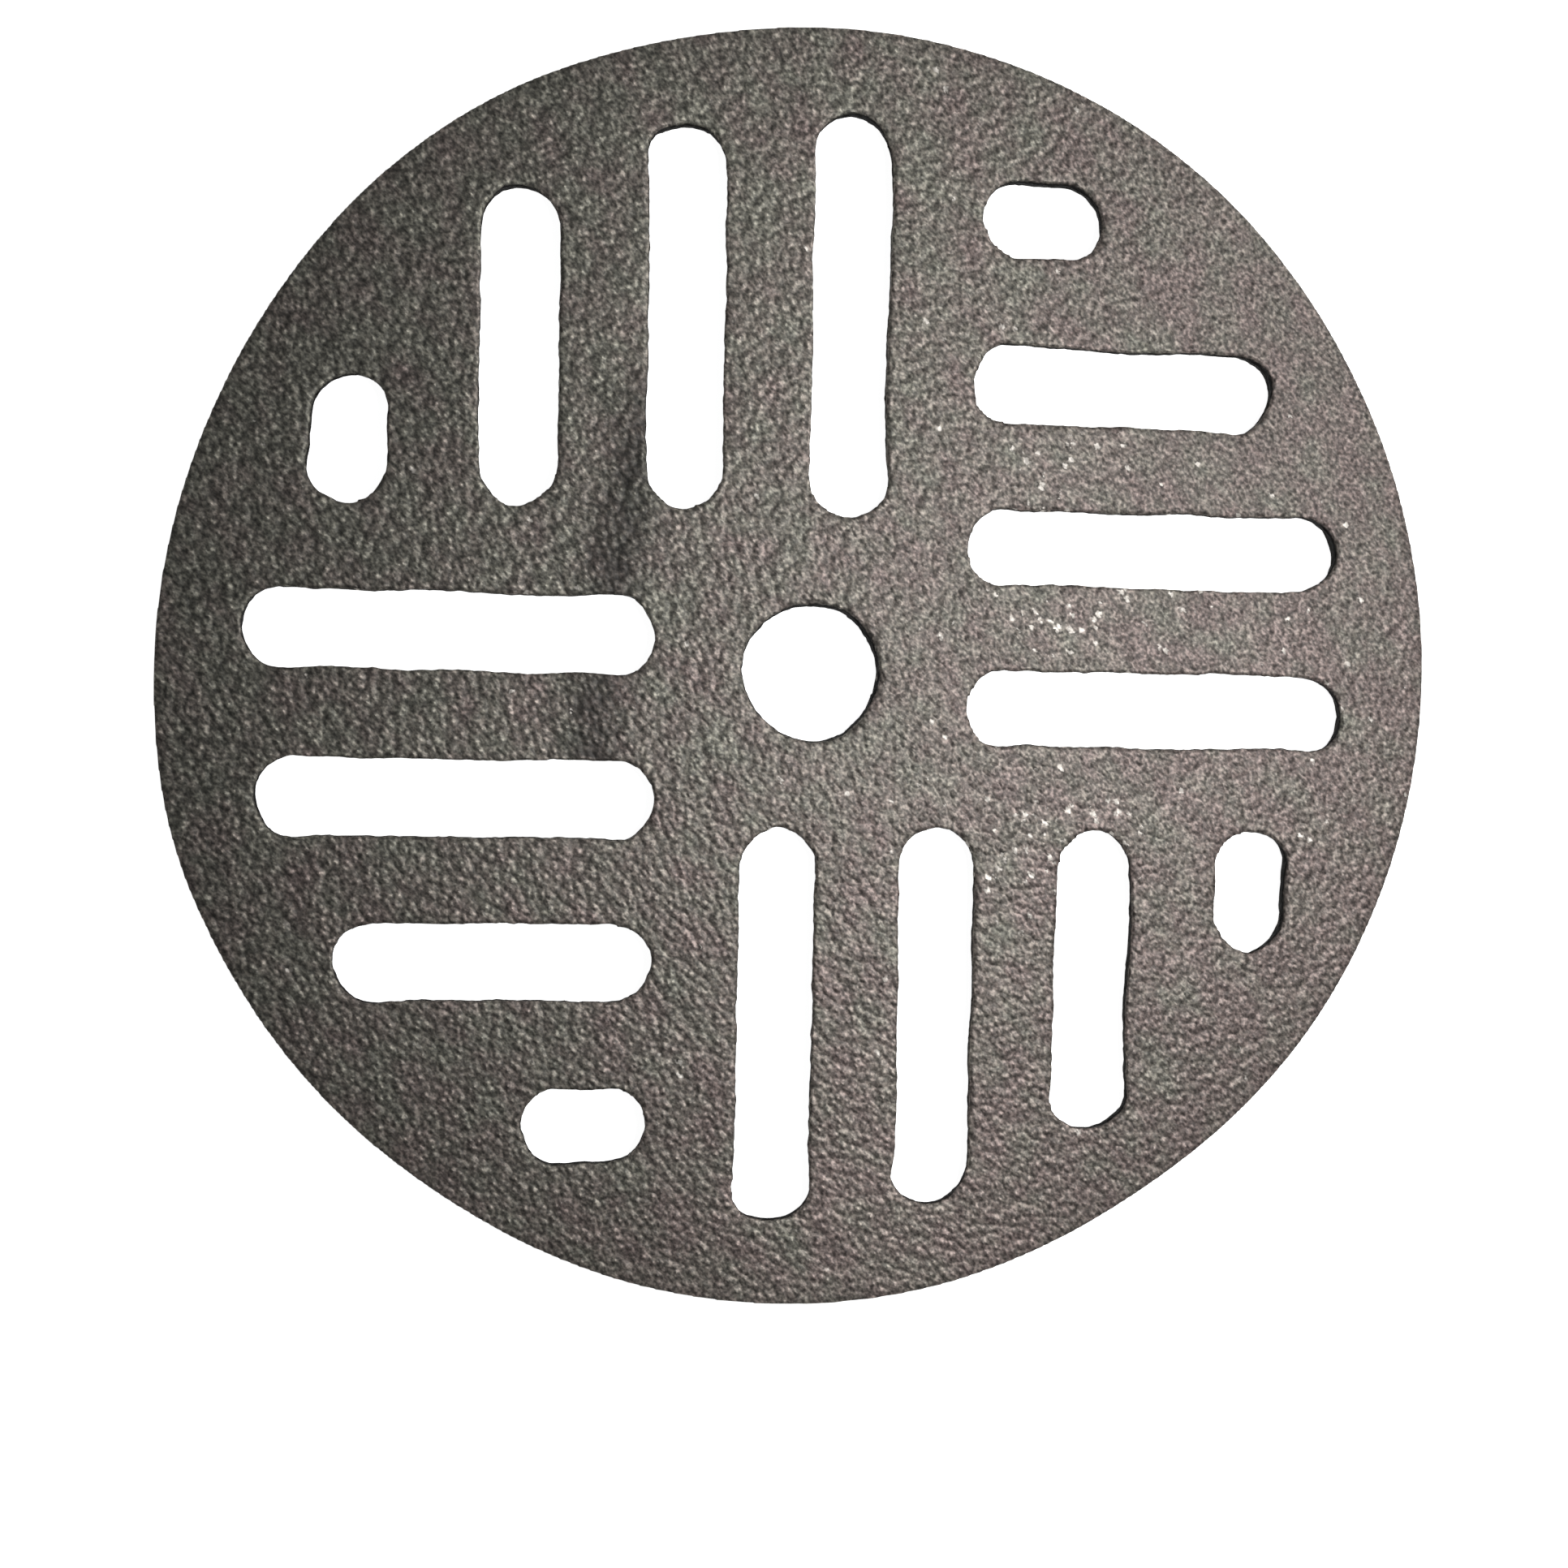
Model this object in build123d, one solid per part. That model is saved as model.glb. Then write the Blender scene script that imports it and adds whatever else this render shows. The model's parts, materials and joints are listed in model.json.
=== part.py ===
"""Round cast-iron grate plate: one casting with four turned groups of slots around a centre hole.

Millimetres. The origin is the centre of the flat underside, +Z points up through the plate, and the first
slot group runs towards +Y. The pattern looks the same after each quarter turn about Z.
"""

import os

from build123d import *

# Overall sizes
plate_diameter = 200.0  # across the upper face, where the plate is widest
plate_thickness = 5.0

# Slot pattern, measured on the upper face
slot_width = 11.3
web_width = 14.2  # iron between two slots side by side
group_web_width = 14.6  # iron between a slot's inner end and the next group
rim_web_width = 13.4  # iron between a slot's outer end and the rim
first_slot_offset = 5.0  # from the centre line to the middle of each group's first slot
shortest_slot = 15.0  # a place with less room than this stays solid
group_count = 4

# Centre hole, straight so that a bolt or a lifting knob seats in it
centre_hole_diameter = 21.6

# Draft: every drawn wall leaves less iron towards the underside, so that ash and grit drop clear
slot_draft_angle = 17.0
rim_draft_angle = 4.0

# Cast edges, rounded by the sand
upper_edge_radius = 0.5
lower_edge_radius = 0.5

# Worked out from the sizes above
plate_radius = plate_diameter / 2
slot_pitch = slot_width + web_width
outer_centre_radius = plate_radius - rim_web_width - slot_width / 2  # of the outer end arcs' centres, about Z
inner_centre_y = first_slot_offset + slot_width + group_web_width  # of the inner end arcs' centres


def slot_places():
    """Each slot of the first group as its x and the y of its two end arcs' centres, as many as fit."""
    places = []
    x = first_slot_offset
    while abs(x) < outer_centre_radius:
        outer_centre_y = (outer_centre_radius**2 - x**2) ** 0.5
        if outer_centre_y - inner_centre_y + slot_width < shortest_slot:
            break
        places.append((x, inner_centre_y, outer_centre_y))
        x -= slot_pitch
    return places


def slot_cutter(x, inner_y, outer_y):
    """The sand core of one slot, which widens towards the underside."""
    outline = SlotCenterToCenter(outer_y - inner_y, slot_width, rotation=90)
    upper_face = Pos(x, (inner_y + outer_y) / 2, plate_thickness) * outline
    return extrude(upper_face, amount=-plate_thickness, taper=-slot_draft_angle)


def blank():
    """The plate before it is pierced: a disc that narrows a little towards its underside."""
    upper_face = Pos(0, 0, plate_thickness) * Circle(plate_radius)
    return extrude(upper_face, amount=-plate_thickness, taper=rim_draft_angle)


def grate_plate():
    """The whole casting."""
    plate = blank()
    for group in range(group_count):
        turn = Rot(0, 0, group * 360 / group_count)
        for place in slot_places():
            plate -= turn * slot_cutter(*place)
    centre_hole = Pos(0, 0, plate_thickness / 2) * Cylinder(centre_hole_diameter / 2, plate_thickness)
    plate -= centre_hole
    plate = fillet(plate.faces().sort_by(Axis.Z)[-1].edges(), upper_edge_radius)
    return fillet(plate.faces().sort_by(Axis.Z)[0].edges(), lower_edge_radius)


os.makedirs("parts", exist_ok=True)
export_step(grate_plate(), "parts/grate_plate.step")
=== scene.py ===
"""Looks of the round cast-iron grate plate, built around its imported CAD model."""

import json
import math
import random

import bmesh
import bpy
from mathutils import Euler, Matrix, Vector, geometry, kdtree, noise


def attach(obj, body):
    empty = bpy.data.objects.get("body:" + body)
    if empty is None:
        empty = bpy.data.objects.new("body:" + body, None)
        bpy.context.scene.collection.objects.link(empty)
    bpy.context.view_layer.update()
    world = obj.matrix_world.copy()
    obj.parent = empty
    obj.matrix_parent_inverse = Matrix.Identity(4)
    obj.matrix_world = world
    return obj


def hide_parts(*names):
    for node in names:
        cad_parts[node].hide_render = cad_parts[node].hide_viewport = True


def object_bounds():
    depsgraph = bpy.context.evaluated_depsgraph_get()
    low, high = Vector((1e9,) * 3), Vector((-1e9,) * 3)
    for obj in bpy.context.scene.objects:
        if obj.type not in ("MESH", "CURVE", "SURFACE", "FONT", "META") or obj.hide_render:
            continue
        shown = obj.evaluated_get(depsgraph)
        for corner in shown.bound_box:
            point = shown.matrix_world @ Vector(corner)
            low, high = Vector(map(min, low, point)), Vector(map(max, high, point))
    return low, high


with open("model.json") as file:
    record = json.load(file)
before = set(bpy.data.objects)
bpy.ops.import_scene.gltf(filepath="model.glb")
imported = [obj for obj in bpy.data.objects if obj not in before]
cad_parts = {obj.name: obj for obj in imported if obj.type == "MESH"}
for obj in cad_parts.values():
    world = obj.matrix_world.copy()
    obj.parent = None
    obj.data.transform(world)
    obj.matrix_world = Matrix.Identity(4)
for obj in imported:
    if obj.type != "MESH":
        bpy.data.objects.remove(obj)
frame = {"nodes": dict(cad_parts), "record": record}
cad_low, cad_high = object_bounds()
scene = bpy.context.scene

# The camera hangs close above the plate, a little left of its centre and tilted a few degrees, as a camera
# held by hand over something lying on a bench. Its lens is a moderately wide one.
upper_face_centre = Vector((0, 0, cad_high.z))
camera_reach = Vector((-0.0256, -0.0112, 0.2275))
camera_tilt_degrees = (-1.70, -5.36, 1.07)
camera_data = bpy.data.cameras.new("overhead_camera")
camera_data.sensor_width = 36
camera_data.lens = 33.54
camera = bpy.data.objects.new("overhead_camera", camera_data)
camera.location = upper_face_centre + camera_reach
camera.rotation_euler = Euler([math.radians(angle) for angle in camera_tilt_degrees])
scene.collection.objects.link(camera)
scene.camera = camera
scene.view_settings.view_transform = "Standard"


# The table is a plain sheet of white laminate, brightly and evenly lit, much larger than the plate.
def linear(hex_colour):
    """An sRGB hex colour as the linear colour that the shaders work in."""
    channels = [int(hex_colour[i : i + 2], 16) / 255 for i in (1, 3, 5)]
    return [c / 12.92 if c <= 0.04045 else ((c + 0.055) / 1.055) ** 2.4 for c in channels] + [1.0]


table_half_width = 3.0
laminate = bpy.data.materials.new("white_laminate")
laminate.use_nodes = True
laminate_shader = laminate.node_tree.nodes["Principled BSDF"]
laminate_shader.inputs["Base Color"].default_value = linear("#F4F4F2")
laminate_shader.inputs["Roughness"].default_value = 0.6
laminate_shader.inputs["Emission Color"].default_value = linear("#FFFFFF")
laminate_shader.inputs["Emission Strength"].default_value = 0.95
sheet = bmesh.new()
bmesh.ops.create_grid(sheet, x_segments=1, y_segments=1, size=table_half_width)
table_mesh = bpy.data.meshes.new("table")
sheet.to_mesh(table_mesh)
sheet.free()
table = bpy.data.objects.new("table", table_mesh)
table_mesh.materials.append(laminate)
scene.collection.objects.link(table)


# Two small lamps behind diffusers light the plate: one hangs close above its right half, and one stands
# further off beyond its right edge and shows up the grain. The room around adds very little.
diffuser_width = 0.10


def hang_lamp(name, place, watts, colour):
    """Hangs a round lamp that shines at the middle of the plate."""
    lamp_data = bpy.data.lights.new(name, "AREA")
    lamp_data.shape = "DISK"
    lamp_data.size = diffuser_width
    lamp_data.energy = watts
    lamp_data.color = linear(colour)[:3]
    lamp = bpy.data.objects.new(name, lamp_data)
    lamp.location = place
    lamp.rotation_euler = lamp.location.to_track_quat("Z", "Y").to_euler()
    lamp.visible_camera = False
    scene.collection.objects.link(lamp)


hang_lamp("near_lamp", (0.076, -0.003, 0.19), 0.405, "#FFFFFF")
hang_lamp("far_lamp", (0.30, 0.22, 0.18), 0.5, "#FFFFFF")
room = bpy.data.worlds.new("pale_room")
room.use_nodes = True
room.node_tree.nodes["Background"].inputs["Color"].default_value = linear("#F2F5F8")
room.node_tree.nodes["Background"].inputs["Strength"].default_value = 0.1
scene.world = room

# The plate is one casting in grey iron, poured in a sand mould and left as it came out of the sand. The
# sand leaves the slots' outlines wavy, rounds every edge, and prints its grains over the whole skin. The
# mesh is remeshed flattened, so its cells are twice as high as they are wide, and the underside is thinned.
skin_step = 0.0006
flattening = 0.5
merge_distance = 1e-6
underside_kept = 0.62
underside_favour = 10
wander_wave, wander_depth = 0.012, 0.00045
nub_wave, nub_depth = 0.0025, 0.00018
down_wall = 0.4  # how fast a wall's waves change from top to bottom, next to along it
lump_wave, lump_depth = 0.0045, 0.00003
grain_wave, grain_depth = 0.0010, 0.00014
grain_sink = 0.3
skin_gain = 0.00017  # what the remesh takes off each wall
turned_mould = Euler((0.7, 0.4, 0.9)).to_matrix()
noise.seed_set(1)


def apply_modifiers(piece):
    """Gives a piece the mesh that its modifiers make, and clears them."""
    made = bpy.data.meshes.new_from_object(piece.evaluated_get(bpy.context.evaluated_depsgraph_get()))
    piece.modifiers.clear()
    piece.data = made


plate_mesh = frame["nodes"]["grate_plate"].data.copy()
casting = bmesh.new()
casting.from_mesh(plate_mesh)
bmesh.ops.remove_doubles(casting, verts=casting.verts, dist=merge_distance)
bmesh.ops.scale(casting, vec=(1, 1, flattening), verts=casting.verts)
casting.to_mesh(plate_mesh)
casting.free()
plate = bpy.data.objects.new("rough_grate_plate", plate_mesh)
scene.collection.objects.link(plate)
even_skin = plate.modifiers.new("even_skin", "REMESH")
even_skin.mode = "VOXEL"
even_skin.voxel_size = skin_step
apply_modifiers(plate)
lowest_cells = [v.index for v in plate.data.vertices if v.co.z < skin_step * flattening]
underside = plate.vertex_groups.new(name="underside")
underside.add(lowest_cells, 1.0, "REPLACE")
thin_out = plate.modifiers.new("thin_out", "DECIMATE")
thin_out.ratio = underside_kept
thin_out.vertex_group = underside.name
thin_out.vertex_group_factor = underside_favour
apply_modifiers(plate)
plate.vertex_groups.clear()

# The sand gives way here and there where the iron turns a corner, so no two slot ends are alike. Each end
# gets three soft dents, round its arc, that push the iron's edge out or in.
slot_radius = 0.00565
box_to_tip = 0.0028  # about how far a slot's end lies past the box that the record gives its opening
dent_spread = 0.0026
dent_reach = 3 * dent_spread
dent_in, dent_out = -0.0004, 0.0008
dent_angles = (-50, 0, 50)
angle_play = 15
chance = random.Random(5)
dents = []
for opening in frame["record"]["physics"]["openings"]:
    low, high = (Vector(corner) for corner in opening["box_m"])
    middle, half = (low + high) / 2, (high - low) / 2
    along, across = Vector((1, 0, 0)), Vector((0, 1, 0))
    if half.y > half.x:
        along, across = across, along
    arc_centre = along * (half.dot(along) + box_to_tip - slot_radius)
    for side in (-1, 1):
        for angle in dent_angles:
            turn = math.radians(angle + chance.uniform(-angle_play, angle_play))
            out = side * math.cos(turn) * along + math.sin(turn) * across
            place = middle + side * arc_centre + slot_radius * out
            dents.append((place, chance.uniform(dent_in, dent_out) * out))

# The sand cores of two short slots were set a little off their places. Each has its place and its shift,
# and the iron around it goes along.
shifted_cores = (
    (Vector((0.0345, 0.0715)), Vector((0.0020, 0.0003, 0))),
    (Vector((0.0715, -0.0344)), Vector((0.0005, 0.0012, 0))),
)
core_spread = 0.012

# The rim came cleaner out of the sand than the slots did, but a little out of round: low in four places, as
# where gates have been ground off, and proud in two. Each has its azimuth and its spread, both in degrees,
# and how much is lost there. The rim's edges and draft are set again, because the remesh blurs them.
uneven_rim = (
    (55, 13, -0.0006),
    (103, 11, 0.0009),
    (155, 18, 0.0014),
    (196, 7, -0.0006),
    (236, 10, 0.0006),
    (303, 11, 0.0010),
)
rim_radius = cad_high.x
rim_zone = 0.02
rim_roughness = 0.08
rim_edge = 0.0005
rim_catch = 1.6 * rim_edge
rim_draft = math.tan(math.radians(4))
half_thickness = cad_high.z / 2

# All of that is put into the mesh, one vertex at a time. A slot's walls are marked for painted shade,
# near-black, where they lean far enough, clear of the rim and of the underside, which is left flat.
wall_lean, wall_blend = 0.6, 0.35
rim_clear = 0.003
underside_clear = 0.0002
downward = -0.9

casting = bmesh.new()
casting.from_mesh(plate.data)
bmesh.ops.scale(casting, vec=(1, 1, 1 / flattening), verts=casting.verts)
casting.normal_update()
casting.verts.ensure_lookup_table()
wall_shade = casting.verts.layers.float.new("painted_wall_shade")
finder = kdtree.KDTree(len(casting.verts))
for vert in casting.verts:
    finder.insert((vert.co.x, vert.co.y, 0), vert.index)
finder.balance()
moves = {}
for place, push in dents:
    for found, index, distance in finder.find_range((place.x, place.y, 0), dent_reach):
        share = math.exp(-0.5 * (distance / dent_spread) ** 2)
        moves[index] = moves.get(index, Vector()) + share * push
for vert in casting.verts:
    place = vert.co.copy()
    out = vert.normal.copy()
    if place.xy.length > rim_radius - rim_catch:
        into_corner = max(0.0, abs(place.z - half_thickness) - half_thickness + rim_edge)
        rim_line = rim_radius - rim_edge + math.sqrt(max(0.0, rim_edge**2 - into_corner**2))
        place.xy = (rim_line - (cad_high.z - place.z) * rim_draft) * place.xy.normalized()
        vert.co = place
    azimuth = math.degrees(math.atan2(place.y, place.x)) % 360
    radius = place.xy.length
    near_rim = max(0.0, 1 - (rim_radius - radius) / rim_zone)
    flat_place = turned_mould @ Vector((place.x, place.y, down_wall * place.z))
    wander = wander_depth * noise.noise_vector(flat_place / wander_wave)
    wander += nub_depth * noise.noise_vector(flat_place / nub_wave)
    wander *= 1 - (1 - rim_roughness) * near_rim
    wander += skin_gain * out
    vert.co += Vector((wander.x, wander.y, 0)) + moves.get(vert.index, Vector())
    for core_place, core_push in shifted_cores:
        core_share = math.exp(-0.5 * ((place.xy - core_place).length / core_spread) ** 2)
        vert.co += (1 - near_rim) * core_share * core_push
    lost = sum(depth * math.exp(-0.5 * ((azimuth - at) / width) ** 2) for at, width, depth in uneven_rim)
    vert.co -= lost * near_rim / radius * Vector((place.x, place.y, 0))
    relief = lump_depth * noise.noise(turned_mould @ place / lump_wave)
    relief += grain_depth * (noise.noise(turned_mould @ place / grain_wave) - grain_sink)
    relief *= 1 - (1 - rim_roughness) * near_rim**4
    vert.co += relief * out
    vert.co.z = max(vert.co.z, 0.0)
    off_rim = min(1.0, max(0.0, (rim_radius - radius) / rim_clear))
    off_underside = min(1.0, place.z / underside_clear)
    leaning = min(1.0, max(0.0, (wall_lean - out.z) / wall_blend))
    vert[wall_shade] = off_rim * off_underside * leaning
for face in casting.faces:
    face.smooth = face.normal.z > downward

# Painted shade lies in one soft dark streak on the left, and painted glints stand on the grain in spots on
# the right.
# Painted light and shade make the skin paler in some broad patches and darker in two. A glint spot has its
# x, its y, its spread, and the share of grains that shine there. A patch has its x, its y, its spread, and
# how much lighter it is.
# The streak is painted shade: a dark band drawn in the top face's colour along these points.
shade_streak_line = [Vector((-0.0255, 0.041, 0)), Vector((-0.032, 0.0126, 0)), Vector((-0.0344, -0.015, 0))]
shade_streak_width = 0.0034
# These spots carry painted glints: bright specks drawn into the colour on the grain.
glint_spot_places = (
    (0.037, -0.027, 0.006, 0.25),
    (0.049, -0.023, 0.004, 0.20),
    (0.020, -0.015, 0.006, 0.06),
    (0.038, 0.011, 0.006, 0.14),
    (0.052, 0.011, 0.007, 0.10),
    (0.038, 0.037, 0.007, 0.14),
    (0.078, 0.005, 0.020, 0.03),
)
# These patches are painted light and shade: broad areas drawn lighter or darker in the colour.
light_patch_places = (
    (-0.030, 0.080, 0.038, 0.66),
    (0.012, 0.100, 0.022, 0.25),
    (0.015, -0.092, 0.020, 0.34),
    (-0.080, -0.010, 0.045, 0.42),
    (0.035, 0.0, 0.038, -0.15),
    (0.090, 0.050, 0.030, -0.13),
)
painted_shade_streak = casting.verts.layers.float.new("painted_shade_streak")
painted_glint_spots = casting.verts.layers.float.new("painted_glint_spots")
painted_light_patches = casting.verts.layers.float.new("painted_light_patches")
for vert in casting.verts:
    on_top = float(vert.co.z > half_thickness)
    flat = Vector((vert.co.x, vert.co.y, 0))
    gaps = []
    for start, end in zip(shade_streak_line, shade_streak_line[1:]):
        nearest, share = geometry.intersect_point_line(flat, start, end)
        nearest = start.lerp(end, min(1, max(0, share)))
        gaps.append((flat - nearest).length)
    vert[painted_shade_streak] = on_top * math.exp(-0.5 * (min(gaps) / shade_streak_width) ** 2)
    vert[painted_glint_spots] = on_top * sum(
        share * math.exp(-0.5 * ((flat.x - x) ** 2 + (flat.y - y) ** 2) / spread**2)
        for x, y, spread, share in glint_spot_places
    )
    vert[painted_light_patches] = 1 + sum(
        gain * math.exp(-0.5 * ((flat.x - x) ** 2 + (flat.y - y) ** 2) / spread**2)
        for x, y, spread, gain in light_patch_places
    )
casting.to_mesh(plate.data)
casting.free()
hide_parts("grate_plate")
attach(plate, "root")


# Sand-cast grey iron: bare metal under a thin dark oxide skin. The eye gets a dull, warm grey with no clear
# reflection, a coarse grain that catches the light, painted shade in its hollows towards the left, painted
# glints as bright points on the grain, and slot walls painted near-black as shade, with no shine.
def add_node(tree, kind, links, **settings):
    """Adds a shader node. links gives its inputs, by name or number, each a socket or a plain value."""
    node = tree.nodes.new(kind)
    for field, value in settings.items():
        setattr(node, field, value)
    for name, value in links.items():
        if isinstance(value, bpy.types.NodeSocket):
            tree.links.new(value, node.inputs[name])
        else:
            node.inputs[name].default_value = value
    return node


grain_spacing = 0.0011
grain_height = 0.00036
glint_size = 0.0005
patch_size = 0.006
speck_spacing = 0.0010
stray_specks = 0.003
iron = bpy.data.materials.new("sand_cast_grey_iron")
iron.use_nodes = True
tree = iron.node_tree
shader = tree.nodes["Principled BSDF"]
object_place = add_node(tree, "ShaderNodeTexCoord", {}).outputs["Object"]
grain_lie = {"Vector": object_place, "Rotation": (0.6, 0.35, math.radians(-45)), "Scale": (1.4, 1, 1)}
turned = add_node(tree, "ShaderNodeMapping", grain_lie, vector_type="TEXTURE")
position = turned.outputs["Vector"]

grain_links = {"Vector": position, "Scale": 1 / grain_spacing, "Smoothness": 0.6}
grains = add_node(tree, "ShaderNodeTexVoronoi", grain_links, feature="SMOOTH_F1").outputs["Distance"]
domes = add_node(
    tree, "ShaderNodeMapRange", {"Value": grains, "From Min": 0.8, "From Max": 0.0}
).outputs["Result"]

glint_links = {"Vector": position, "Scale": 1 / glint_size, "Detail": 1.5, "Roughness": 0.5}
glint_noise = add_node(tree, "ShaderNodeTexNoise", glint_links)
shade = add_node(tree, "ShaderNodeValToRGB", {"Fac": glint_noise.outputs["Fac"]})
shade.color_ramp.elements[0].position = 0.30
shade.color_ramp.elements[0].color = linear("#444341")
shade.color_ramp.elements[1].position = 0.72
shade.color_ramp.elements[1].color = linear("#A39F9A")
shade_middle = shade.color_ramp.elements.new(0.50)
shade_middle.color = linear("#6E6C69")

patch_links = {"Vector": position, "Scale": 1 / patch_size, "Detail": 3.0, "Roughness": 0.6}
patches = add_node(tree, "ShaderNodeTexNoise", patch_links).outputs["Fac"]
across_plate = add_node(
    tree, "ShaderNodeVectorMath", {0: object_place, 1: (1.0, -0.45, 0)}, operation="DOT_PRODUCT"
).outputs["Value"]
bloom = add_node(tree, "ShaderNodeMath", {0: across_plate, 1: patches}, operation="ADD").outputs["Value"]
tint = add_node(tree, "ShaderNodeValToRGB", {"Fac": bloom})
tint.color_ramp.elements[0].position = 0.33
tint.color_ramp.elements[0].color = linear("#FAFBEF")
tint.color_ramp.elements[1].position = 0.67
tint.color_ramp.elements[1].color = linear("#FFECEA")
skin_colour = add_node(
    tree,
    "ShaderNodeMixRGB",
    {"Fac": 1.0, "Color1": shade.outputs["Color"], "Color2": tint.outputs["Color"]},
    blend_type="MULTIPLY",
).outputs["Color"]

# Painted light and shade: the colour is scaled up in some broad patches and down in two.
light_patch_gain = add_node(tree, "ShaderNodeAttribute", {}, attribute_name="painted_light_patches").outputs["Fac"]
light_patched = add_node(
    tree, "ShaderNodeVectorMath", {"Vector": skin_colour, "Scale": light_patch_gain}, operation="SCALE"
).outputs["Vector"]
shade_streak_mask = add_node(tree, "ShaderNodeAttribute", {}, attribute_name="painted_shade_streak").outputs["Fac"]
# Painted shade: the hollows between the grain's domes are darkened towards the left, where the lamps graze.
left_shade_ramp = add_node(
    tree, "ShaderNodeMapRange", {"Value": across_plate, "From Min": 0.03, "From Max": -0.08, "To Max": 0.65}
).outputs["Result"]
hollows = add_node(tree, "ShaderNodeMath", {0: 1.0, 1: domes}, operation="SUBTRACT").outputs["Value"]
hollow_shade_left = add_node(
    tree, "ShaderNodeMath", {0: hollows, 1: left_shade_ramp}, operation="MULTIPLY"
).outputs["Value"]
# Painted shade: the streak and the grain's hollows towards the left are mixed towards near-black.
painted_shade_share = add_node(
    tree, "ShaderNodeMath", {0: shade_streak_mask, 1: 0.5, 2: hollow_shade_left}, operation="MULTIPLY_ADD", use_clamp=True
).outputs["Value"]
shade_painted = add_node(
    tree, "ShaderNodeMixRGB", {"Fac": painted_shade_share, "Color1": light_patched, "Color2": linear("#1C1B1A")}
).outputs["Color"]
# Painted shade: the slot walls are drawn near-black, as if in shadow.
wall_shade_share = add_node(tree, "ShaderNodeAttribute", {}, attribute_name="painted_wall_shade").outputs["Fac"]
wall_shaded = add_node(
    tree, "ShaderNodeMixRGB", {"Fac": wall_shade_share, "Color1": shade_painted, "Color2": linear("#0E0D0C")}
).outputs["Color"]

# Painted glints: pale specks in the base colour, a few everywhere and many in the listed spots, stand in
# for the grain catching the light.
speck_place = add_node(
    tree,
    "ShaderNodeVectorMath",
    {0: glint_noise.outputs["Color"], 1: (speck_spacing,) * 3, 2: position},
    operation="MULTIPLY_ADD",
).outputs["Vector"]
speck_cells = add_node(tree, "ShaderNodeTexVoronoi", {"Vector": speck_place, "Scale": 1 / speck_spacing})
speck_dot = add_node(
    tree,
    "ShaderNodeMapRange",
    {"Value": speck_cells.outputs["Distance"], "From Min": 0.50, "From Max": 0.24},
).outputs["Result"]
glint_spot_mask = add_node(tree, "ShaderNodeAttribute", {}, attribute_name="painted_glint_spots").outputs["Fac"]
glint_spot_share = add_node(tree, "ShaderNodeMath", {0: glint_spot_mask, 1: stray_specks}, operation="ADD").outputs["Value"]
speck_draw = add_node(
    tree, "ShaderNodeSeparateColor", {"Color": speck_cells.outputs["Color"]}
).outputs["Red"]
chosen = add_node(
    tree, "ShaderNodeMath", {0: glint_spot_share, 1: speck_draw}, operation="GREATER_THAN"
).outputs["Value"]
speck = add_node(tree, "ShaderNodeMath", {0: speck_dot, 1: chosen}, operation="MULTIPLY").outputs["Value"]
speckled = add_node(
    tree, "ShaderNodeMixRGB", {"Fac": speck, "Color1": wall_shaded, "Color2": linear("#CCC6BE")}
).outputs["Color"]

skin = add_node(tree, "ShaderNodeBump", {"Strength": 1.0, "Distance": grain_height, "Height": domes})
tree.links.new(skin.outputs["Normal"], shader.inputs["Normal"])
tree.links.new(speckled, shader.inputs["Base Color"])
metal_share = add_node(
    tree, "ShaderNodeMath", {0: wall_shade_share, 1: 0.5, 2: 0.5}, operation="MULTIPLY_ADD"
).outputs["Value"]
dullness = add_node(
    tree, "ShaderNodeMath", {0: wall_shade_share, 1: 0.45, 2: 0.55}, operation="MULTIPLY_ADD"
).outputs["Value"]
tree.links.new(metal_share, shader.inputs["Metallic"])
tree.links.new(dullness, shader.inputs["Roughness"])
plate.data.materials.clear()
plate.data.materials.append(iron)
